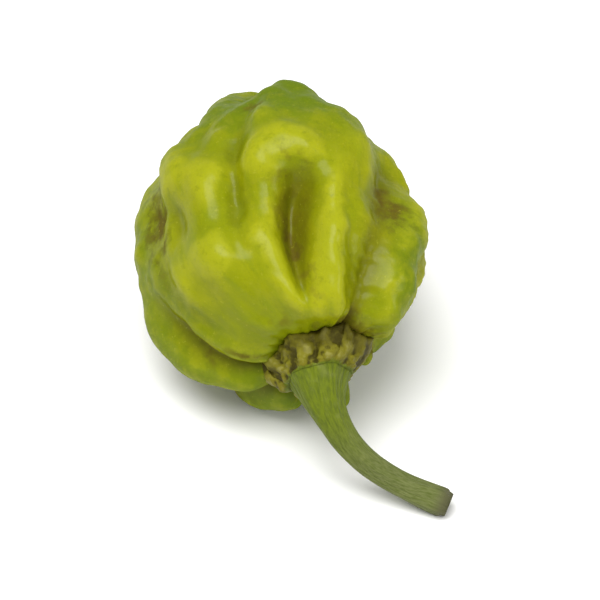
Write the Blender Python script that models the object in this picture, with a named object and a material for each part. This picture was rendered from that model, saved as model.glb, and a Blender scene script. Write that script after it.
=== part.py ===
"""A scotch bonnet pepper as picked: a lobed pod lying on its side, with its calyx and stem.

Metres, +Z up. The table is the plane z = 0 and the pod's long axis lies along Y, stem end towards -Y.
The pod's own frame has +Z along its axis to the stem, +Y up and its middle at the origin.
"""

import math

import bmesh
import bpy
from mathutils import Vector, noise

MM = 0.001

# Driving dimensions
POD_WIDTH = 38 * MM
POD_LENGTH = 42.5 * MM
CALYX_WIDTH = 13.0 * MM
CALYX_THICKNESS = 0.9 * MM
STEM_DIAMETER = 3.2 * MM
CLEARANCE = 0.35 * MM

# How the pod lies on two of its lobes and the tip of its stem: the stem end dips, and the pod leans a
# little to one side. Where it touches, it is pressed flat to this depth.
DIP = math.radians(8.8)
SIDE_LEAN = math.radians(2.1)
REST_CUT = 0.3 * MM

# Fineness of the faceted solids. The calyx and stem's rings are counted from the middle of the cut end
# down to the middle of the calyx's underside.
POD_SEGMENTS = 104
POD_RINGS = 52
STEM_SEGMENTS = 32
END_RINGS = 3
STEM_RINGS = 26
TOP_RINGS = 7
UNDER_RINGS = 6

# Two outlines of the pod from the stem's pole to the blossom's: one down the crest of a rib, one down
# the floor of a furrow. Radius is in half widths, height is in half lengths, towards the stem.
RIB_LINE = [
    (0.00, 0.85),
    (0.19, 0.86),
    (0.36, 0.91),
    (0.56, 0.93),
    (0.79, 0.76),
    (0.95, 0.43),
    (1.00, 0.05),
    (0.95, -0.34),
    (0.79, -0.68),
    (0.52, -0.92),
    (0.22, -0.99),
    (0.00, -0.92),
]
FURROW_LINE = [
    (0.00, 0.85),
    (0.18, 0.84),
    (0.33, 0.82),
    (0.49, 0.75),
    (0.64, 0.57),
    (0.74, 0.30),
    (0.77, 0.00),
    (0.72, -0.32),
    (0.56, -0.59),
    (0.35, -0.78),
    (0.16, -0.88),
    (0.00, -0.92),
]

# The furrows, counted round the pod: angle in degrees (0 to the right and 90 up, seen from the stem end),
# depth where 1 reaches the furrow line, half width in degrees, the shares of the way from the stem's pole
# to the blossom's where it starts and ends, how many degrees it leans on its way, how fast it widens and
# over what share it closes at its far end.
FURROWS = [
    (90, 1.25, 9, 0.29, 0.51, -52, 2.4, 0.12),
    (66, 0.30, 7, 0.16, 0.46, -50, 0.9, 0.16),
    (46, 0.66, 10, 0.10, 0.62, -66, 0.9, 0.16),
    (119, 0.36, 5, 0.38, 0.66, -70, 0.9, 0.12),
    (164, 0.42, 10, 0.26, 0.84, -30, 0.9, 0.20),
    (-178, 0.80, 8, 0.08, 0.44, -20, 0.9, 0.20),
    (-137, 0.95, 10, 0.06, 0.84, 0, 0.9, 0.24),
    (-95, 0.62, 11, 0.10, 0.74, 8, 0.9, 0.24),
    (-52, 0.85, 12, 0.06, 0.89, 10, 0.9, 0.24),
    (-8, 0.55, 10, 0.08, 0.66, -10, 0.9, 0.24),
    (14, 0.45, 10, 0.36, 0.90, -24, 0.9, 0.20),
    (70, 0.70, 12, 0.66, 0.96, -40, 0.9, 0.20),
    (118, 0.55, 10, 0.68, 0.95, -30, 0.9, 0.20),
]
WANDER = 3.0
SHARPNESS = 1.5

# The pod grew lopsided: its stem end is this far to the right of its middle.
STEM_END_SHIFT = 6.2 * MM

# Knobs and hollows of the skin: angle in degrees, share of the way along, reach, height (minus is a hollow).
BUMPS = [
    (105, 0.3, 2.3 * MM, 1.3 * MM),
    (105, 0.54, 2.6 * MM, 1.4 * MM),
    (83, 0.54, 2.6 * MM, 1.4 * MM),
    (95, 0.56, 3.0 * MM, 1.3 * MM),
    (127, 0.53, 3.2 * MM, 1.9 * MM),
    (137, 0.425, 3.6 * MM, 2.2 * MM),
    (108, 0.44, 2.6 * MM, 0.4 * MM),
    (80, 0.42, 2.4 * MM, 0.6 * MM),
    (78, 0.5, 2.4 * MM, 0.6 * MM),
    (40, 0.43, 5.0 * MM, 0.6 * MM),
    (24, 0.51, 5.0 * MM, 1.2 * MM),
    (43, 0.51, 2.4 * MM, -1.2 * MM),
    (48, 0.63, 3.5 * MM, -1.5 * MM),
    (37, 0.7, 6.0 * MM, -3.0 * MM),
    (32, 0.8, 6.0 * MM, -1.6 * MM),
    (50, 0.84, 5.0 * MM, -1.4 * MM),
    (88, 0.84, 5.0 * MM, -0.9 * MM),
    (162, 0.68, 5.5 * MM, -1.5 * MM),
    (166, 0.41, 3.5 * MM, 1.3 * MM),
    (-156, 0.39, 8.0 * MM, 3.4 * MM),
    (14, 0.34, 4.5 * MM, -1.8 * MM),
    (-32, 0.38, 10.0 * MM, -3.8 * MM),
    (-8, 0.28, 6.5 * MM, -2.6 * MM),
    (-86, 0.26, 5.0 * MM, 1.4 * MM),
    (-70, 0.62, 7.0 * MM, 3.2 * MM),
    (-116, 0.62, 7.0 * MM, 2.4 * MM),
    (143, 0.57, 3.5 * MM, 1.0 * MM),
    (164, 0.55, 2.6 * MM, -1.3 * MM),
    (158, 0.255, 1.7 * MM, -0.7 * MM),
    (175, 0.25, 1.7 * MM, -0.7 * MM),
    (-168, 0.25, 1.7 * MM, -0.7 * MM),
    (113, 0.46, 2.8 * MM, -0.8 * MM),
    (147, 0.49, 2.4 * MM, -0.9 * MM),
    (155, 0.62, 3.0 * MM, 0.7 * MM),
]
# Uneven growth of the whole skin: how high its swellings are and how far apart.
SWELLINGS = [(1.0 * MM, 8.0 * MM), (0.65 * MM, 3.8 * MM)]

# The calyx: how many blunt teeth its rim has and how long they are. Its top bulges up to a funnel, which
# starts at a share of the stem's line and runs out along it.
TEETH = 6
TOOTH_DEPTH = 0.08
CALYX_BULGE = 0.7 * MM
FUNNEL_WIDTH = 7.8 * MM
FUNNEL_START = 0.20
FUNNEL_RUN = 0.12

# The stem is faintly ribbed, and thicker towards its cut end, which is a little hollow.
STEM_RIBS = 5
RIB_HEIGHT = 0.05
END_FLARE = 0.18
END_EDGE = 0.985
END_HOLLOW = 0.97

# The stem's middle line in the pod's frame, from inside the funnel to the cut end, in mm.
STEM_LINE = [
    (4.2, 0.2, 16.6),
    (4.4, -0.2, 20.4),
    (5.3, -1.2, 25.0),
    (7.0, -3.0, 28.0),
    (9.3, -5.4, 29.8),
    (12.5, -7.8, 31.2),
    (16.5, -9.4, 32.7),
    (21.7, -10.4, 34.5),
]


def smooth_line(points, share):
    """The point at a share of the way along a smooth line through points, as a Vector."""
    last = len(points) - 3
    place = min(max(share, 0.0), 1.0) * last
    index = min(int(place), last - 1)
    t = place - index
    a, b, c, d = (Vector(point) for point in points[index:index + 4])
    return 0.5 * (2 * b + (c - a) * t + (2 * a - 5 * b + 4 * c - d) * t * t + (3 * b - a - 3 * c + d) * t**3)


def pole_to_pole(points):
    """An outline with one more point past each pole, mirrored, so that it crosses the axis squarely."""
    first, last = points[1], points[-2]
    return [(-first[0], first[1]), *points, (-last[0], last[1])]


def open_ended(points):
    """A line with one more point past each end, straight on."""
    points = [Vector(point) for point in points]
    return [2 * points[0] - points[1], *points, 2 * points[-1] - points[-2]]


RIB = pole_to_pole(RIB_LINE)
FURROW = pole_to_pole(FURROW_LINE)
STEM = open_ended(STEM_LINE)


def ramp(low, high, value):
    """0 below low, 1 above high, and a smooth step between them."""
    t = min(max((value - low) / (high - low), 0.0), 1.0)
    return t * t * (3 - 2 * t)


def furrowed(degrees, share):
    """How deep the skin lies here, from 0 on the rib line to 1 on the furrow line."""
    standing = 1.0
    for index, (angle, depth, half_width, first, last, lean, opening, closing) in enumerate(FURROWS):
        wander = WANDER * math.sin(8.0 * share + 2.4 * index)
        off = (degrees - angle - lean * (share - 0.5) - wander + 180) % 360 - 180
        fade = ramp(first - 0.05, first + 0.12, share) * (1 - ramp(last - closing / 2, last + closing / 2, share))
        steps = math.hypot(off / half_width / (1 + opening * (share - 0.5)), 0.22) - 0.22
        standing *= 1 - depth * fade * math.exp(-(steps**SHARPNESS))
    return 1 - standing


def on_outline(line, angle):
    """The point at an angle round the pod that a (radius, height) of an outline gives."""
    radius, height = line[0] * POD_WIDTH / 2, line[1] * POD_LENGTH / 2
    radius *= 1 + 0.035 * math.cos(2 * angle - 0.9) + 0.03 * math.cos(3 * angle + 2.2)
    return Vector((radius * math.cos(angle), radius * math.sin(angle), height))


def pod_point(angle, share):
    """A point of the pod's skin, in the pod's frame, at a share of the way from the stem's pole."""
    depth = furrowed(math.degrees(angle), share)
    point = on_outline(smooth_line(RIB, share).lerp(smooth_line(FURROW, share), depth), angle)
    away = point.normalized()
    rise = sum(height * noise.noise(point / apart) for height, apart in SWELLINGS)
    for degrees, place, reach, height in BUMPS:
        centre = on_outline(smooth_line(RIB, place), math.radians(degrees))
        rise += height * math.exp(-(((point - centre).length / reach) ** 2))
    point += away * rise
    point.x += STEM_END_SHIFT * max(point.z / POD_LENGTH * 2, 0) ** 1.6
    return point


def above_pod(angle, share, height):
    """A point at a height over the pod's skin."""
    step = 0.01
    here = pod_point(angle, share)
    along = pod_point(angle, share + step) - pod_point(angle, max(share - step, 0.001))
    round_it = pod_point(angle + 0.1, share) - pod_point(angle - 0.1, share)
    return here + along.cross(round_it).normalized() * height


def stem_frame(share):
    """The stem's middle at a share of its length, and two directions across it."""
    middle = smooth_line(STEM, share) * MM
    onward = (smooth_line(STEM, min(share + 0.01, 1)) - smooth_line(STEM, max(share - 0.01, 0))).normalized()
    first = (Vector((1, 0, 0)) - onward * onward.x).normalized()
    return middle, first, onward.cross(first)


def stem_point(angle, share, radius):
    """A point on a ring of this radius round the stem."""
    middle, first, second = stem_frame(share)
    return middle + (first * math.cos(angle) + second * math.sin(angle)) * radius


def ball(name, segments, rings, place):
    """A mesh made from a ball, each point moved to place(angle round it, rings passed from its top)."""
    bm = bmesh.new()
    bmesh.ops.create_uvsphere(bm, u_segments=segments, v_segments=rings, radius=1)
    for vertex in bm.verts:
        angle = math.atan2(vertex.co.y, vertex.co.x)
        ring = rings * math.acos(max(-1, min(1, vertex.co.z))) / math.pi
        vertex.co = place(angle, ring)
    mesh = bpy.data.meshes.new(name)
    bm.to_mesh(mesh)
    bm.free()
    return mesh


def share_at_radius(radius):
    """The share of the way from the stem's pole at which the rib line is this far from the axis."""
    steps = 500
    return next(k / steps for k in range(steps) if smooth_line(RIB, k / steps)[0] * POD_WIDTH / 2 > radius)


RIM_SHARE = share_at_radius(CALYX_WIDTH / 2)


def stem_radius(share):
    """The stem's radius at a share of its line: a funnel out of the calyx, slim, then thicker at the cut."""
    flare = 1 + END_FLARE * ramp(0.8, 1.0, share)
    funnel = math.exp(-(share - FUNNEL_START) / FUNNEL_RUN)
    return STEM_DIAMETER / 2 * flare + (FUNNEL_WIDTH - STEM_DIAMETER) / 2 * funnel


def rim_share(angle):
    """How far from the stem's pole the calyx's toothed rim reaches."""
    return RIM_SHARE * (1 + TOOTH_DEPTH * math.sin(TEETH * angle) + 0.05 * math.sin(2 * angle + 1.0))


def calyx_and_stem_point(angle, ring):
    """A point of the calyx and stem, in the pod's frame, so many rings from the middle of the cut end."""
    ribbed = 1 + RIB_HEIGHT * math.cos(STEM_RIBS * angle)
    if ring < END_RINGS:
        out = ring / END_RINGS
        share = END_HOLLOW + (1 - END_HOLLOW) * out
        return stem_point(angle, share, stem_radius(1) * 0.9 * out * ribbed)
    ring -= END_RINGS
    if ring < STEM_RINGS:
        share = END_EDGE + (FUNNEL_START - END_EDGE) * ring / (STEM_RINGS - 1)
        return stem_point(angle, share, stem_radius(share) * ribbed)
    ring -= STEM_RINGS
    top = CLEARANCE + CALYX_THICKNESS
    if ring < TOP_RINGS:
        out = (ring + 1) / TOP_RINGS
        collar = stem_point(angle, FUNNEL_START, stem_radius(FUNNEL_START) * ribbed)
        bulge = Vector((0, 0, CALYX_BULGE * 4 * out * (1 - out)))
        return collar.lerp(above_pod(angle, rim_share(angle), top), out) + bulge
    ring -= TOP_RINGS
    if ring == 0:
        return above_pod(angle, rim_share(angle) * 1.03, CLEARANCE + CALYX_THICKNESS / 2)
    return above_pod(angle, rim_share(angle) * (1 - (ring - 1) / UNDER_RINGS), CLEARANCE)


def material(name, colour, roughness):
    """A material of one colour, as linear red, green and blue."""
    made = bpy.data.materials.new(name)
    made.use_nodes = True
    shader = made.node_tree.nodes["Principled BSDF"]
    shader.inputs["Base Color"].default_value = (*colour, 1)
    shader.inputs["Roughness"].default_value = roughness
    shader.inputs["Metallic"].default_value = 0
    return made


def press_flat(mesh, to_world):
    """Takes off what lies below the table and closes the mesh there with flat faces."""
    to_local = to_world.inverted()
    bm = bmesh.new()
    bm.from_mesh(mesh)
    cut = bmesh.ops.bisect_plane(
        bm,
        geom=bm.verts[:] + bm.edges[:] + bm.faces[:],
        dist=1e-7,
        plane_co=to_local @ Vector((0, 0, 0)),
        plane_no=to_local.to_3x3() @ Vector((0, 0, -1)),
        clear_outer=True,
    )
    rim = [item for item in cut["geom_cut"] if isinstance(item, bmesh.types.BMEdge)]
    bmesh.ops.edgeloop_fill(bm, edges=rim)
    bmesh.ops.recalc_face_normals(bm, faces=bm.faces)
    bm.to_mesh(mesh)
    bm.free()


for thing in list(bpy.data.objects):
    bpy.data.objects.remove(thing)

# The two solids, in the pod's frame
pod = ball("pod", POD_SEGMENTS, POD_RINGS, lambda angle, ring: pod_point(angle, ring / POD_RINGS))
ring_count = END_RINGS + STEM_RINGS + TOP_RINGS + 1 + UNDER_RINGS
calyx_and_stem = ball("calyx_and_stem", STEM_SEGMENTS, ring_count, calyx_and_stem_point)
pod.materials.append(material("pod_skin", (0.36, 0.41, 0.02), 0.3))
calyx_and_stem.materials.append(material("green_stem", (0.16, 0.21, 0.05), 0.6))

# The whole pepper is laid down, centred over the origin, and pressed onto the table
pepper = bpy.data.objects.new("pepper", None)
bpy.context.collection.objects.link(pepper)
pepper.rotation_euler = (math.radians(90) + DIP, SIDE_LEAN, 0)
bpy.context.view_layer.update()
corners = [pepper.matrix_world @ vertex.co for mesh in (pod, calyx_and_stem) for vertex in mesh.vertices]
low, high = (Vector(pick(point[axis] for point in corners) for axis in range(3)) for pick in (min, max))
pepper.location = (-(low.x + high.x) / 2, -(low.y + high.y) / 2, -low.z - REST_CUT)
bpy.context.view_layer.update()
for mesh in (pod, calyx_and_stem):
    press_flat(mesh, pepper.matrix_world)
    mesh.shade_smooth()
    mesh.set_sharp_from_angle(angle=math.radians(50))
    thing = bpy.data.objects.new(mesh.name, mesh)
    bpy.context.collection.objects.link(thing)
    thing.parent = pepper
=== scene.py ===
import math

import bmesh
import bpy
import numpy as np
from mathutils import Euler, Matrix, Vector, noise


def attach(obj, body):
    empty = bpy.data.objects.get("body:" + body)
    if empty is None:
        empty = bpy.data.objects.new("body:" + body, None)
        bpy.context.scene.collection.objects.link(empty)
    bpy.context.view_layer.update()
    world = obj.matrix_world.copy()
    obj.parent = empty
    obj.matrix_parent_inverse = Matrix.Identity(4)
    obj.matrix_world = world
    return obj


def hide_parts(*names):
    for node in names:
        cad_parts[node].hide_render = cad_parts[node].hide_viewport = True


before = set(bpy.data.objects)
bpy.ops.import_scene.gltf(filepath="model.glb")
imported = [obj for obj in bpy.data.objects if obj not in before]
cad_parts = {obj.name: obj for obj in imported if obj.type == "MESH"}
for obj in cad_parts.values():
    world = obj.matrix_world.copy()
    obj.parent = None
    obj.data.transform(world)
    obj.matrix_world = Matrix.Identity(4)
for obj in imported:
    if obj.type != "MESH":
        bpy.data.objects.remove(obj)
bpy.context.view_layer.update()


# The camera looks down at the pepper from straight in front of its stem end, 43 degrees above the
# table, through a long lens, so that near and far lobes keep their sizes.
mm = 0.001
camera_angle = math.radians(43)
camera_distance = 0.56
aim = Vector((1.0, -2.5, 15.0)) * mm


def put_in_scene(name, data):
    """An object that holds a camera, a mesh or a lamp."""
    made = bpy.data.objects.new(name, data)
    bpy.context.collection.objects.link(made)
    return made


lens = bpy.data.cameras.new("camera")
lens.lens = 260
lens.sensor_width = 36
lens.clip_start = 0.01
camera = put_in_scene("camera", lens)
to_camera = Vector((0, -math.cos(camera_angle), math.sin(camera_angle)))
camera.location = aim + to_camera * camera_distance
camera.rotation_euler = (math.radians(90) - camera_angle, 0, 0)
bpy.context.scene.camera = camera


# The pod: one fruit, a thin waxy skin blown out into uneven lobes between furrows, lopsided at its
# stem end and crumpled where a furrow closes. It grew in one piece, and rests pressed lightly on
# two of its lobes.
pod_width = 38 * mm
pod_length = 42.5 * mm
stem_end_shift = 6.2 * mm
pod_segments = 384
pod_rings = 192

# Where the pepper lies, and how its axis turns down from upright: its stem end dips and it leans.
resting_place = Vector((-1.0834, 6.2254, 17.7306)) * mm
stem_end_dip = math.radians(90 + 8.8)
sideways_lean = math.radians(2.1)

# Heights of the skin's unevenness, from broad to fine, and how far apart its humps lie.
swelling, swellings_apart = 1.0 * mm, 8.0 * mm
lump, lumps_apart = 0.65 * mm, 3.8 * mm
crumple, crumples_apart = 0.24 * mm, 2.0 * mm
dimple, dimples_apart = 0.12 * mm, 1.5 * mm
pleat, pleats, pleat_bends_apart = 0.12 * mm, 26, 3 * mm

# Outlines from the stem's pole to the blossom's, down a rib and down a furrow: radius in half
# widths and height in half lengths, with one more point past each pole.
rib_line = np.array([
    (-0.19, 0.86), (0.00, 0.85), (0.19, 0.86), (0.36, 0.91), (0.56, 0.93), (0.79, 0.76),
    (0.95, 0.43), (1.00, 0.05), (0.95, -0.34), (0.79, -0.68), (0.52, -0.92), (0.22, -0.99),
    (0.00, -0.92), (-0.22, -0.99),
])
furrow_line = np.array([
    (-0.18, 0.84), (0.00, 0.85), (0.18, 0.84), (0.33, 0.82), (0.49, 0.75), (0.64, 0.57),
    (0.74, 0.30), (0.77, 0.00), (0.72, -0.32), (0.56, -0.59), (0.35, -0.78), (0.16, -0.88),
    (0.00, -0.92), (-0.16, -0.88),
])

# Each furrow's angle in degrees, depth, half width in degrees, first and last share of the way
# along, lean in degrees, how fast it widens and over what share it closes. Angles run from 0 at
# the right to 90 at the top.
furrows = [
    (90, 1.25, 9, 0.29, 0.51, -52, 2.4, 0.12), (66, 0.30, 7, 0.16, 0.46, -50, 0.9, 0.16),
    (46, 0.66, 10, 0.10, 0.62, -66, 0.9, 0.16), (119, 0.36, 5, 0.38, 0.66, -70, 0.9, 0.12),
    (164, 0.42, 10, 0.26, 0.84, -30, 0.9, 0.20), (-178, 0.80, 8, 0.08, 0.44, -20, 0.9, 0.20),
    (-137, 0.95, 10, 0.06, 0.84, 0, 0.9, 0.24), (-95, 0.62, 11, 0.10, 0.74, 8, 0.9, 0.24),
    (-52, 0.85, 12, 0.06, 0.89, 10, 0.9, 0.24), (-8, 0.55, 10, 0.08, 0.66, -10, 0.9, 0.24),
    (14, 0.45, 10, 0.36, 0.90, -24, 0.9, 0.20), (70, 0.70, 12, 0.66, 0.96, -40, 0.9, 0.20),
    (118, 0.55, 10, 0.68, 0.95, -30, 0.9, 0.20),
]
floor_roundness = 0.22

# Each knob's angle, share of the way along, reach in mm and height in mm. A hollow's height is
# below 0.
knobs = [
    (105, 0.3, 2.3, 1.3), (105, 0.54, 2.6, 1.4), (83, 0.54, 2.6, 1.4), (95, 0.56, 3.0, 1.3),
    (127, 0.53, 3.2, 1.9), (137, 0.425, 3.6, 2.2), (108, 0.44, 2.6, 0.4), (80, 0.42, 2.4, 0.6),
    (78, 0.5, 2.4, 0.6), (40, 0.43, 5.0, 0.6), (24, 0.51, 5.0, 1.2), (43, 0.51, 2.4, -1.2),
    (48, 0.63, 3.5, -1.5), (37, 0.7, 6.0, -3.0), (32, 0.8, 6.0, -1.6), (50, 0.84, 5.0, -1.4),
    (88, 0.84, 5.0, -0.9), (162, 0.68, 5.5, -1.5), (166, 0.41, 3.5, 1.3), (-156, 0.39, 8.0, 3.4),
    (14, 0.34, 4.5, -1.8), (-32, 0.38, 10.0, -3.8), (-8, 0.28, 6.5, -2.6), (-86, 0.26, 5.0, 1.4),
    (-70, 0.62, 7.0, 3.2), (-116, 0.62, 7.0, 2.4),
    (143, 0.57, 3.5, 1.0), (164, 0.55, 2.6, -1.3), (158, 0.255, 1.7, -0.7),
    (175, 0.25, 1.7, -0.7), (-168, 0.25, 1.7, -0.7), (113, 0.46, 2.8, -0.8),
    (147, 0.49, 2.4, -0.9), (155, 0.62, 3.0, 0.7),
]

# Corky brown marks, some partly painted shade in creases, a furrow's floor and by the calyx, and
# green left on the lobes that ripen last, partly painted shade over the top dome: each one's
# angle, share of the way along, how many degrees and what share of the length it fades over, and
# its strength.
brown_and_shade_marks = [
    (43, 0.51, 8, 0.05, 0.85), (90, 0.52, 9, 0.035, 0.40), (97, 0.39, 5, 0.07, 0.70),
    (58, 0.78, 20, 0.06, 0.50), (106, 0.65, 6, 0.03, 0.60), (87, 0.25, 16, 0.03, 0.55),
    (56, 0.19, 24, 0.05, 0.80), (-15, 0.28, 30, 0.06, 0.75), (128, 0.27, 12, 0.03, 0.35),
    (165, 0.53, 11, 0.08, 0.80), (160, 0.78, 12, 0.05, 0.45), (-129, 0.39, 9, 0.06, 0.45),
    (175, 0.25, 4, 0.05, 0.70), (-171, 0.33, 6, 0.03, 0.50), (-60, 0.66, 12, 0.04, 0.60),
    (-100, 0.80, 16, 0.04, 0.50),
]
green_and_shade_patches = [
    (34, 0.40, 16, 0.13, 0.85), (172, 0.50, 16, 0.20, 0.55), (92, 0.71, 60, 0.11, 1.15),
    (150, 0.66, 16, 0.08, 0.25), (85, 0.88, 90, 0.09, 0.30), (102, 0.29, 9, 0.035, -0.50),
]


def along(line, share):
    """The points at these shares of the way along a smooth line."""
    last = len(line) - 3
    place = np.clip(share, 0, 1) * last
    index = np.minimum(place.astype(int), last - 1)
    t = (place - index)[:, None]
    a, b, c, d = (line[index + k] for k in range(4))
    bend = (2 * a - 5 * b + 4 * c - d) * t**2
    return 0.5 * (2 * b + (c - a) * t + bend + (3 * b - a - 3 * c + d) * t**3)


def ramp(low, high, value):
    """0 below low, 1 above high, and a smooth step between them."""
    t = np.clip((value - low) / (high - low), 0, 1)
    return t * t * (3 - 2 * t)


def ripple(points, apart):
    """Smooth uneven noise at these points, whose humps lie this far apart."""
    return np.array([noise.noise(point) for point in (points / apart).tolist()])


def degrees_off(angle, degrees):
    """How many degrees these angles round the pod are past another one, from -180 to 180."""
    return (np.degrees(angle) - degrees + 180) % 360 - 180


def furrow_depth(angle, share):
    """How deep the skin lies at these places, from 0 on a rib to 1 on a furrow's floor."""
    standing = np.ones(len(angle))
    for index, furrow in enumerate(furrows):
        degrees, depth, half_width, first, last, lean, opening, closing = furrow
        wander = 3.0 * np.sin(8.0 * share + 2.4 * index)
        off = degrees_off(angle, degrees + lean * (share - 0.5) + wander)
        begun = ramp(first - 0.05, first + 0.12, share)
        ended = ramp(last - closing / 2, last + closing / 2, share)
        half_widths_off = off / half_width / (1 + opening * (share - 0.5))
        steps = np.hypot(half_widths_off, floor_roundness) - floor_roundness
        standing *= 1 - depth * begun * (1 - ended) * np.exp(-(steps**1.5))
    return 1 - standing


def on_outline(line, angle):
    """The points at these angles round the pod that an outline's radius and height give."""
    out_of_round = 1 + 0.035 * np.cos(2 * angle - 0.9) + 0.03 * np.cos(3 * angle + 2.2)
    radius = line[:, 0] * pod_width / 2 * out_of_round
    height = line[:, 1] * pod_length / 2
    return np.stack([radius * np.cos(angle), radius * np.sin(angle), height], 1)


def skin(angle, share, fine=False):
    """Points of the pod's skin, axis along Z and stem end up. Fine adds its small creases."""
    depth = furrow_depth(angle, share)
    line = along(rib_line, share)
    points = on_outline(line + (along(furrow_line, share) - line) * depth[:, None], angle)
    rise = swelling * ripple(points, swellings_apart) + lump * ripple(points, lumps_apart)
    for degrees, place, reach, height in knobs:
        middle = on_outline(along(rib_line, np.array([place])), np.radians(degrees))
        apart = np.sum((points - middle) ** 2, axis=1)
        rise += height * mm * np.exp(-apart / (reach * mm) ** 2)
    if fine:
        flank = np.clip(4 * depth * (1 - depth), 0, 1)
        rise += crumple * flank * ripple(points * (1, 1, 2.2), crumples_apart)
        rise += dimple * ripple(points, dimples_apart)
        folds = np.sin(pleats * angle + 3 * ripple(points, pleat_bends_apart))
        rise += pleat * folds * (1 - ramp(0.20, 0.34, share)) * ramp(0.10, 0.17, share)
    points = points + points / np.linalg.norm(points, axis=1)[:, None] * rise[:, None]
    points[:, 0] += stem_end_shift * np.maximum(points[:, 2] / pod_length * 2, 0) ** 1.6
    return points


def ball(name, segments, rings, place):
    """A mesh bent from a ball by place(angle round it, rings from its top), and its points."""
    bm = bmesh.new()
    bmesh.ops.create_uvsphere(bm, u_segments=segments, v_segments=rings, radius=1)
    angle = np.array([math.atan2(vertex.co.y, vertex.co.x) for vertex in bm.verts])
    from_top = np.array([math.acos(max(-1, min(1, vertex.co.z))) for vertex in bm.verts])
    ring = rings * from_top / math.pi
    points = place(angle, ring)
    for vertex, point in zip(bm.verts, points.tolist()):
        vertex.co = point
    mesh = bpy.data.meshes.new(name)
    bm.to_mesh(mesh)
    bm.free()
    return mesh, points, angle, ring


def mark(mesh, name, values):
    """Keeps one number for each point of a mesh, for its material to read."""
    kept = mesh.attributes.new(name, "FLOAT", "POINT")
    kept.data.foreach_set("value", np.asarray(values, np.float32))


def mark_turns(mesh, name, angle, onward):
    """Keeps each point's turn round a piece and its way along it, for streaks that follow both."""
    turns = np.stack([np.cos(angle), np.sin(angle), onward], 1).astype(np.float32)
    mesh.attributes.new(name, "FLOAT_VECTOR", "POINT").data.foreach_set("vector", turns.ravel())


def lay_down(mesh):
    """Turns a mesh from upright to where the pepper lies, and presses it flat on the table."""
    turn = Euler((stem_end_dip, sideways_lean, 0))
    mesh.transform(Matrix.LocRotScale(resting_place, turn, None))
    bm = bmesh.new()
    bm.from_mesh(mesh)
    for vertex in bm.verts:
        vertex.co.z = max(vertex.co.z, 0.0)
    bm.to_mesh(mesh)
    bm.free()


def crests(points, angle, ring):
    """How far in mm the pod's points stand out from a smoothed pod: below 0 in hollows."""
    smoothing_rounds = 70
    row = np.round(ring).astype(int)
    column = np.round(angle / (2 * math.pi) * pod_segments).astype(int) % pod_segments
    grid = np.zeros((pod_rings + 1, pod_segments, 3))
    grid[row, column] = points
    grid[0], grid[-1] = points[row == 0][0], points[row == pod_rings][0]
    smooth = grid.copy()
    for _ in range(smoothing_rounds):
        smooth = (2 * smooth + np.roll(smooth, 1, 1) + np.roll(smooth, -1, 1)) / 4
        smooth[1:-1] = (2 * smooth[1:-1] + smooth[:-2] + smooth[2:]) / 4
    out = smooth / np.linalg.norm(smooth, axis=2)[:, :, None]
    return (np.sum((grid - smooth) * out, axis=2) / mm)[row, column]


def with_spots(amount, angle, share, spots):
    """An amount all over the pod, with each spot's strength added round its place."""
    for degrees, place, wide, long, strength in spots:
        off = degrees_off(angle, degrees)
        fading = np.exp(-((off / wide) ** 2) - ((share - place) / long) ** 2)
        amount = amount + strength * fading
    return amount


pod_mesh, points, angle, ring = ball(
    "pod_skin", pod_segments, pod_rings, lambda angle, ring: skin(angle, ring / pod_rings, True)
)
share = ring / pod_rings
mark(pod_mesh, "furrow", furrow_depth(angle, share))
mark(pod_mesh, "crest", crests(points, angle, ring))
# Corky brown round the calyx, partly painted shade, and at the blossom scar, with the marks added.
round_calyx = 1 - ramp(0.17, 0.26, share)
blossom_scar = np.exp(-(((1 - share) / 0.03) ** 2))
brown = with_spots(0.35 * round_calyx + 1.1 * blossom_scar, angle, share, brown_and_shade_marks)
mark(pod_mesh, "brown", brown)
lay_down(pod_mesh)
laid_down = np.empty(len(pod_mesh.vertices) * 3, np.float32)
pod_mesh.vertices.foreach_get("co", laid_down)
# Darker green towards the table and near the calyx, with the patches added; over the top dome it
# is partly painted shade.
low_down = 1 - ramp(6 * mm, 22 * mm, laid_down[2::3])
by_calyx = 1 - ramp(0.16, 0.30, share)
green = with_spots(0.70 * low_down + 0.25 * by_calyx, angle, share, green_and_shade_patches)
mark(pod_mesh, "green", green)
mark_turns(pod_mesh, "grain", angle, 0.9 * share)
pod_mesh.shade_smooth()
pod = put_in_scene("pod_skin", pod_mesh)

# The skin's colours, from the bare skin to what lies over it. The crest yellow is a painted
# highlight, the hollow green is painted shade, and the deep green, furrow olive and cork brown are
# partly painted shade.
yellow_green = (0.220, 0.234, 0.0023)
dull_green = (0.169, 0.196, 0.0015)
streak_green = (0.143, 0.181, 0.0023)
crest_highlight_yellow = (0.302, 0.310, 0.0091)
hollow_shade_green = (0.098, 0.113, 0.0023)
deep_green_and_shade = (0.098, 0.143, 0.0023)
pale_green = (0.279, 0.294, 0.011)
furrow_olive_and_shade = (0.106, 0.094, 0.0038)
cork_brown_and_shade = (0.087, 0.064, 0.0091)
fleck_green = (0.117, 0.140, 0.0023)
pore_yellow = (0.302, 0.302, 0.023)


def new_material(name):
    """A material with its node tree and its main shader."""
    made = bpy.data.materials.new(name)
    made.use_nodes = True
    return made, made.node_tree, made.node_tree.nodes["Principled BSDF"]


def set_sockets(node, values):
    """Puts numbers and colours on a node's sockets."""
    for socket, value in values.items():
        node.inputs[socket].default_value = value


def attribute(tree, name, output="Fac"):
    """What the mesh keeps under this name for each point."""
    made = tree.nodes.new("ShaderNodeAttribute")
    made.attribute_name = name
    return made.outputs[output]


def noise_at(where, scale, detail, roughness=0.5):
    """The 0 to 1 value of a noise pattern of this scale at a place."""
    made = where.id_data.nodes.new("ShaderNodeTexNoise")
    set_sockets(made, {"Scale": scale, "Detail": detail, "Roughness": roughness})
    where.id_data.links.new(where, made.inputs["Vector"])
    return made.outputs["Fac"]


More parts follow.
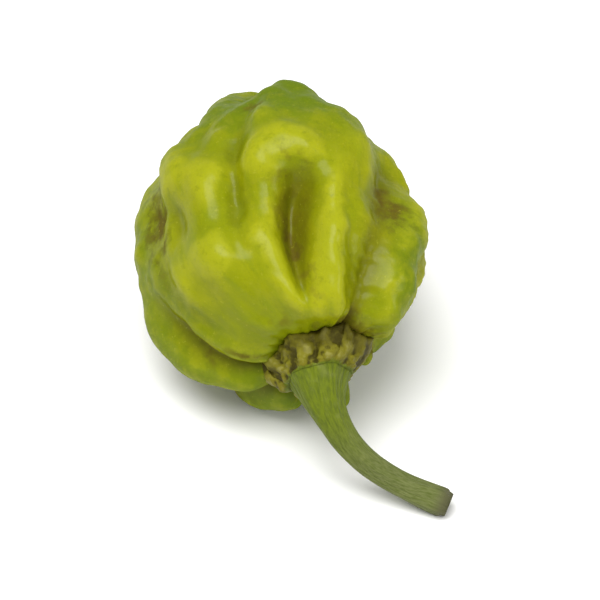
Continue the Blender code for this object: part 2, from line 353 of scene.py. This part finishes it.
def stretch(value, low, high, to_low=0.0, to_high=1.0):
    """A value mapped smoothly from low..high to to_low..to_high."""
    made = value.id_data.nodes.new("ShaderNodeMapRange")
    made.interpolation_type = "SMOOTHSTEP"
    set_sockets(made, {"From Min": low, "From Max": high, "To Min": to_low, "To Max": to_high})
    value.id_data.links.new(value, made.inputs["Value"])
    return made.outputs["Result"]


def spread(noise_value, to_low, to_high):
    """A noise pattern's value, which lies mostly between 0.3 and 0.7, spread to_low..to_high."""
    return stretch(noise_value, 0.3, 0.7, to_low, to_high)


def figure(operation, first, second):
    """A value put through one sum with another value or with a number."""
    tree = first.id_data
    made = tree.nodes.new("ShaderNodeMath")
    made.operation = operation
    tree.links.new(first, made.inputs[0])
    if isinstance(second, float):
        made.inputs[1].default_value = second
    else:
        tree.links.new(second, made.inputs[1])
    return made.outputs["Value"]


def blend(share_of_second, first, second):
    """A colour between two others."""
    tree = share_of_second.id_data
    made = tree.nodes.new("ShaderNodeMix")
    made.data_type = "RGBA"
    tree.links.new(share_of_second, made.inputs["Factor"])
    for key, colour in (("A", first), ("B", second)):
        socket = next(s for s in made.inputs if s.name == key and s.type == "RGBA")
        if isinstance(colour, tuple):
            socket.default_value = (*colour, 1)
        else:
            tree.links.new(colour, socket)
    return next(s for s in made.outputs if s.type == "RGBA")


def add_relief(shader, height, strength, distance):
    """Relief on a finish that is too fine for the mesh."""
    tree = shader.id_data
    made = tree.nodes.new("ShaderNodeBump")
    set_sockets(made, {"Strength": strength, "Distance": distance})
    tree.links.new(height, made.inputs["Height"])
    tree.links.new(made.outputs["Normal"], shader.inputs["Normal"])


# The skin's finish: yellow-green under thin wax, with a painted highlight on the crests and
# painted shade in the hollows, darker green low down, olive in the furrows that is partly painted
# shade, and corky brown marks, partly painted shade in creases and round the calyx, that the wax
# leaves dull.
skin_finish, tree, shader = new_material("pepper_skin")
where = tree.nodes.new("ShaderNodeTexCoord").outputs["Object"]
broad = noise_at(where, 95, 3)
small = noise_at(where, 430, 5, 0.6)
flecks = noise_at(where, 1100, 4, 0.7)
tiny = noise_at(where, 2000, 3, 0.6)
streaks = noise_at(attribute(tree, "grain", "Vector"), 13, 4, 0.55)
in_furrow = attribute(tree, "furrow")

colour = blend(stretch(broad, 0.36, 0.66), yellow_green, dull_green)
colour = blend(stretch(streaks, 0.46, 0.72, 0.0, 0.45), colour, streak_green)
crest = figure("ADD", attribute(tree, "crest"), spread(small, -0.12, 0.12))
# Painted highlight: the crests turn yellower.
colour = blend(stretch(crest, 0.25, 0.80, 0.0, 0.60), colour, crest_highlight_yellow)
# Painted shade: the hollows turn darker green.
colour = blend(stretch(crest, 0.05, -0.60, 0.0, 0.50), colour, hollow_shade_green)
# Darker green low down, near the calyx and on some lobes; partly painted shade over the top dome.
green_and_shade = figure("ADD", attribute(tree, "green"), spread(small, -0.22, 0.22))
colour = blend(stretch(green_and_shade, 0.05, 1.0), colour, deep_green_and_shade)
colour = blend(stretch(small, 0.55, 0.72, 0.0, 0.28), colour, pale_green)
# Olive in the furrows: partly the skin's own colour and partly painted shade.
olive_and_shade = figure("MULTIPLY", stretch(in_furrow, 0.22, 0.95), 0.85)
olive_and_shade = figure("MULTIPLY", olive_and_shade, stretch(small, 0.25, 0.7, 0.6, 1.0))
colour = blend(olive_and_shade, colour, furrow_olive_and_shade)
# Corky brown marks; in some creases, a furrow's floor and round the calyx partly painted shade.
cork_and_shade = figure("ADD", attribute(tree, "brown"), spread(small, -0.40, 0.30))
cork_and_shade = stretch(cork_and_shade, 0.15, 1.0, 0.0, 0.9)
colour = blend(cork_and_shade, colour, cork_brown_and_shade)
colour = blend(stretch(flecks, 0.54, 0.72, 0.0, 0.34), colour, fleck_green)
colour = blend(stretch(tiny, 0.62, 0.72, 0.0, 0.40), colour, pore_yellow)
tree.links.new(colour, shader.inputs["Base Color"])

rough = figure("ADD", spread(small, 0.22, 0.34), figure("MULTIPLY", cork_and_shade, 0.25))
rough = figure("ADD", rough, stretch(in_furrow, 0.6, 1.1, 0.0, 0.25))
tree.links.new(rough, shader.inputs["Roughness"])
wax = figure("MULTIPLY", stretch(cork_and_shade, 0.0, 0.9, 0.24, 0.06), spread(small, 1.0, 0.75))
tree.links.new(wax, shader.inputs["Coat Weight"])
set_sockets(shader, {
    "Coat Roughness": 0.26,
    "Specular IOR Level": 0.0,
    "Subsurface Weight": 0.16,
    "Subsurface Radius": (1.0, 0.85, 0.10),
    "Subsurface Scale": 1.0 * mm,
})
uneven = figure("ADD", figure("MULTIPLY", small, 1.3), figure("MULTIPLY", tiny, 0.45))
uneven = figure("ADD", uneven, figure("MULTIPLY", streaks, 0.8))
add_relief(shader, uneven, 0.55, 0.2 * mm)
pod_mesh.materials.append(skin_finish)

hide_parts("pod")
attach(pod, "root")


# The calyx and stem: one tough green tissue. The calyx is a wrinkled corky ring with blunt teeth,
# grown onto the pod's end. Its middle narrows through a funnel to the fibrous stem, which was cut
# off after a bend.
calyx_width = 13.0 * mm
calyx_standing = 1.1 * mm
calyx_bulge = 0.7 * mm
rim_gap = 0.1 * mm
sunk_in_pod = 0.25 * mm
teeth = 6
stem_width = 3.2 * mm
funnel_width = 7.8 * mm
stem_segments = 160

# Rings of the mesh, from the middle of the cut end up the stem, over the calyx and under it.
end_rings, stem_rings, top_rings, under_rings = 14, 150, 34, 8
top_start = end_rings + stem_rings
under_start = top_start + top_rings

# The stem's middle line in the pod's frame, in mm, with one more point past each end, and shares
# of the way along it: a place inside the calyx, the funnel's start, the cut end's middle and rim.
stem_line = np.array([
    (4.0, 0.6, 12.8), (4.2, 0.2, 16.6), (4.4, -0.2, 20.4), (5.3, -1.2, 25.0), (7.0, -3.0, 28.0),
    (9.3, -5.4, 29.8), (12.5, -7.8, 31.2), (16.5, -9.4, 32.7), (21.7, -10.4, 34.5),
    (26.9, -11.4, 36.3),
])
calyx_heart, funnel_start, cut_middle, cut_rim = 0.18, 0.20, 0.97, 0.985


def share_at(radius):
    """The share of the way along the rib line at which it is this far from the pod's axis."""
    shares = np.arange(500) / 500
    return shares[np.argmax(along(rib_line, shares)[:, 0] * pod_width / 2 > radius)]


rim_place = share_at(calyx_width / 2)


def above_pod(angle, share, height):
    """Points at a height over the pod's skin."""
    onward = skin(angle, share + 0.01) - skin(angle, np.maximum(share - 0.01, 0.001))
    sideways = skin(angle + 0.1, share) - skin(angle - 0.1, share)
    up = np.cross(onward, sideways)
    up /= np.linalg.norm(up, axis=1)[:, None]
    return skin(angle, share) + up * height[:, None]


def stem_radius(share):
    """The stem's radius: a funnel out of the calyx, slim in the middle, thicker at the cut."""
    thicker = 1 + 0.18 * ramp(0.8, 1.0, share)
    funnel = (funnel_width - stem_width) / 2 * np.exp(-(share - funnel_start) / 0.12)
    return stem_width / 2 * thicker + funnel


def round_stem(angle, share, radius):
    """Points of rings round the stem's middle line."""
    middle = along(stem_line, share) * mm
    ahead, behind = np.minimum(share + 0.01, 1), np.maximum(share - 0.01, 0)
    onward = along(stem_line, ahead) - along(stem_line, behind)
    onward /= np.linalg.norm(onward, axis=1)[:, None]
    first = np.array([1.0, 0, 0]) - onward * onward[:, :1]
    first /= np.linalg.norm(first, axis=1)[:, None]
    second = np.cross(onward, first)
    out = first * np.cos(angle)[:, None] + second * np.sin(angle)[:, None]
    return middle + out * radius[:, None]


def wrinkle(points, angle, ring):
    """How high in mm the dried calyx stands over its smooth shape: folds down its teeth, lumps."""
    out = (ring - top_start) / top_rings
    folds = np.cos(2 * teeth * angle + 5 * ripple(points, 2.6 * mm)) * 0.16
    coarse = 0.45 * ripple(points, 2.0 * mm) + 0.42 * ripple(points, 0.9 * mm)
    lumps = coarse + 0.20 * ripple(points, 0.42 * mm)
    return (folds + lumps) * ramp(0.0, 0.35, out) * (out <= 1.02)


def calyx_and_stem_points(angle, ring):
    """Points of the calyx and stem, so many rings from the middle of the cut end."""
    end = ring < end_rings
    stem = ~end & (ring < top_start)
    top = ~end & ~stem & (ring < under_start)
    under = ~end & ~stem & ~top
    points = np.zeros((len(angle), 3))
    ribs = 0.05 * np.cos(5 * angle)
    ridges = 0.012 * np.cos(17 * angle + 1.3)
    ribbed = 1 + ribs + ridges + 0.008 * np.cos(31 * angle)

    # The cut end, a shallow hollow.
    out = ring[end] / end_rings
    hollow = cut_middle + (1 - cut_middle) * out**0.6
    radius = stem_radius(np.ones(end.sum())) * 0.85 * out * ribbed[end]
    points[end] = round_stem(angle[end], hollow, radius)

    # The stem's side, from the cut's rounded edge to the calyx.
    down = (ring[stem] - end_rings) / (stem_rings - 1)
    share = cut_rim + (funnel_start - cut_rim) * down
    rounded = 0.86 + 0.14 * np.sqrt(1 - (1 - np.clip(down / 0.022, 0, 1)) ** 2)
    points[stem] = round_stem(angle[stem], share, stem_radius(share) * ribbed[stem] * rounded)

    # The calyx's upper side, from the funnel out over the pod's skin to its toothed rim.
    rim = rim_place * (1 + 0.08 * np.sin(teeth * angle) + 0.05 * np.sin(2 * angle + 1.0))
    out = (ring[top] - top_start + 1) / top_rings
    reach = out[:, None]
    collar_place = np.full(top.sum(), funnel_start)
    collar = round_stem(angle[top], collar_place, stem_radius(funnel_start) * ribbed[top])
    standing = rim_gap + calyx_standing * np.sqrt(1 - ramp(0.72, 1.1, out))
    edge = above_pod(angle[top], rim[top] * (1 + 0.03 * ramp(0.8, 1, out)), standing)
    points[top] = collar * (1 - reach) + edge * reach
    points[top, 2] += calyx_bulge * 4 * out * (1 - out)

    # Its underside, a little way into the pod.
    inward = (ring[under] - under_start) / under_rings
    depth = np.full(under.sum(), -sunk_in_pod)
    points[under] = above_pod(angle[under], rim[under] * (1 - inward), depth)

    away = points - along(stem_line, np.array([calyx_heart]))[0] * mm
    away /= np.linalg.norm(away, axis=1)[:, None]
    points += away * (wrinkle(points, angle, ring) * mm)[:, None]
    return points


calyx_mesh, points, angle, ring = ball(
    "calyx_and_stem_tissue", stem_segments, under_start + under_rings, calyx_and_stem_points
)
down_stem = np.clip((ring - end_rings) / stem_rings, 0, 1)
over_calyx = np.clip((ring - top_start) / top_rings, 0, 1)
upper_side = 0.5 + 0.5 * np.cos(angle - math.radians(70))
mark(calyx_mesh, "down_stem", down_stem)
mark(calyx_mesh, "over_calyx", np.minimum(over_calyx * 2.2, 1))
mark(calyx_mesh, "wrinkle", wrinkle(points, angle, ring))
mark(calyx_mesh, "cut_end", 1 - ramp(end_rings, end_rings + 9, ring))
# Where painted shade darkens the calyx's rim on its upper side.
mark(calyx_mesh, "upper_rim_shade", ramp(0.45, 0.95, over_calyx) * upper_side)
mark_turns(calyx_mesh, "fibres", angle, 0.16 * (ring - end_rings) / 10)
lay_down(calyx_mesh)
calyx_mesh.shade_smooth()
calyx_and_stem = put_in_scene("calyx_and_stem_tissue", calyx_mesh)

# The tissue's colours, from the cut end up the stem and out over the calyx. The darkest fold brown
# and the rim brown are painted shade.
cut_grey = (0.079, 0.079, 0.036)
stem_grey_green = (0.125, 0.143, 0.047)
funnel_green = (0.109, 0.143, 0.0045)
dark_fibre = (0.057, 0.079, 0.0091)
pale_fibre = (0.189, 0.204, 0.068)
fold_shade_brown = (0.038, 0.032, 0.0023)
cork_tan = (0.140, 0.128, 0.0076)
crumb_tan = (0.211, 0.196, 0.042)
rim_shade_brown = (0.038, 0.030, 0.0015)

# The tissue's finish: green fibres that pale to grey-green along the stem, and on the calyx dried
# brown cork with tan crumbs, with painted shade down in its folds and along the rim's upper side.
stem_finish, tree, shader = new_material("stem_tissue")
where = tree.nodes.new("ShaderNodeTexCoord").outputs["Object"]
fibres = noise_at(attribute(tree, "fibres", "Vector"), 9, 5, 0.6)
patches = noise_at(where, 420, 4)
crumbs = noise_at(where, 1300, 4, 0.6)

colour = blend(stretch(attribute(tree, "down_stem"), 0.30, 0.85), stem_grey_green, funnel_green)
colour = blend(stretch(fibres, 0.35, 0.70, 0.0, 0.75), colour, dark_fibre)
colour = blend(stretch(patches, 0.55, 0.75, 0.0, 0.35), colour, pale_fibre)
# Painted shade: dark brown down in the calyx's folds, tan higher up.
fold = figure("ADD", attribute(tree, "wrinkle"), spread(crumbs, -0.14, 0.14))
cork_and_shade = blend(stretch(fold, -0.25, 0.10), fold_shade_brown, cork_tan)
cork_and_shade = blend(stretch(fold, 0.12, 0.50), cork_and_shade, crumb_tan)
# Painted shade: dark brown along the upper side of the calyx's rim.
upper_rim_shade = figure("ADD", attribute(tree, "upper_rim_shade"), spread(crumbs, -0.25, 0.15))
cork_and_shade = blend(stretch(upper_rim_shade, 0.20, 0.95, 0.0, 0.65), cork_and_shade, rim_shade_brown)
on_calyx = figure("ADD", attribute(tree, "over_calyx"), spread(fibres, -0.20, 0.20))
colour = blend(stretch(on_calyx, 0.24, 0.60), colour, cork_and_shade)
colour = blend(attribute(tree, "cut_end"), colour, cut_grey)
tree.links.new(colour, shader.inputs["Base Color"])
tree.links.new(spread(fibres, 0.48, 0.66), shader.inputs["Roughness"])
set_sockets(shader, {"Specular IOR Level": 0.18, "Specular Tint": (1.0, 0.97, 0.55, 1)})
add_relief(shader, figure("ADD", fibres, figure("MULTIPLY", crumbs, 0.6)), 0.6, 0.3 * mm)
calyx_mesh.materials.append(stem_finish)

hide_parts("calyx_and_stem")
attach(calyx_and_stem, "root")


# The table: a plain white matt sheet, which the pepper lies on. It reaches three metres to each
# side, so that its edges stay out of the photo's view.
table_half_width = 3
table_white = (0.90, 0.90, 0.89, 1)

bm = bmesh.new()
bmesh.ops.create_grid(bm, x_segments=1, y_segments=1, size=table_half_width)
table_mesh = bpy.data.meshes.new("table")
bm.to_mesh(table_mesh)
bm.free()
table = put_in_scene("table", table_mesh)
table_finish, tree, shader = new_material("white_table")
set_sockets(shader, {"Base Color": table_white, "Roughness": 0.8})
table_mesh.materials.append(table_finish)


# The light: a white room, one broad soft lamp high over the pepper, a little to its left and in
# front of it, and a weaker one lower down at its right.
room_brightness = 0.57
lit_place = Vector((0, 0, 0.018))
lamps = [
    ("main_lamp", (-0.09, -0.13, 0.53), 0.46, 3.9),
    ("side_lamp", (0.42, -0.30, 0.32), 0.30, 0.95),
]

room = bpy.data.worlds.new("room")
room.use_nodes = True
background = room.node_tree.nodes["Background"]
set_sockets(background, {"Color": (1, 1, 1, 1), "Strength": room_brightness})
bpy.context.scene.world = room
for name, place, size, power in lamps:
    lamp = bpy.data.lights.new(name, "AREA")
    lamp.shape = "DISK"
    lamp.size = size
    lamp.energy = power
    holder = put_in_scene(name, lamp)
    holder.location = place
    holder.rotation_euler = (lit_place - Vector(place)).to_track_quat("-Z", "Y").to_euler()
bpy.context.scene.view_settings.view_transform = "Standard"
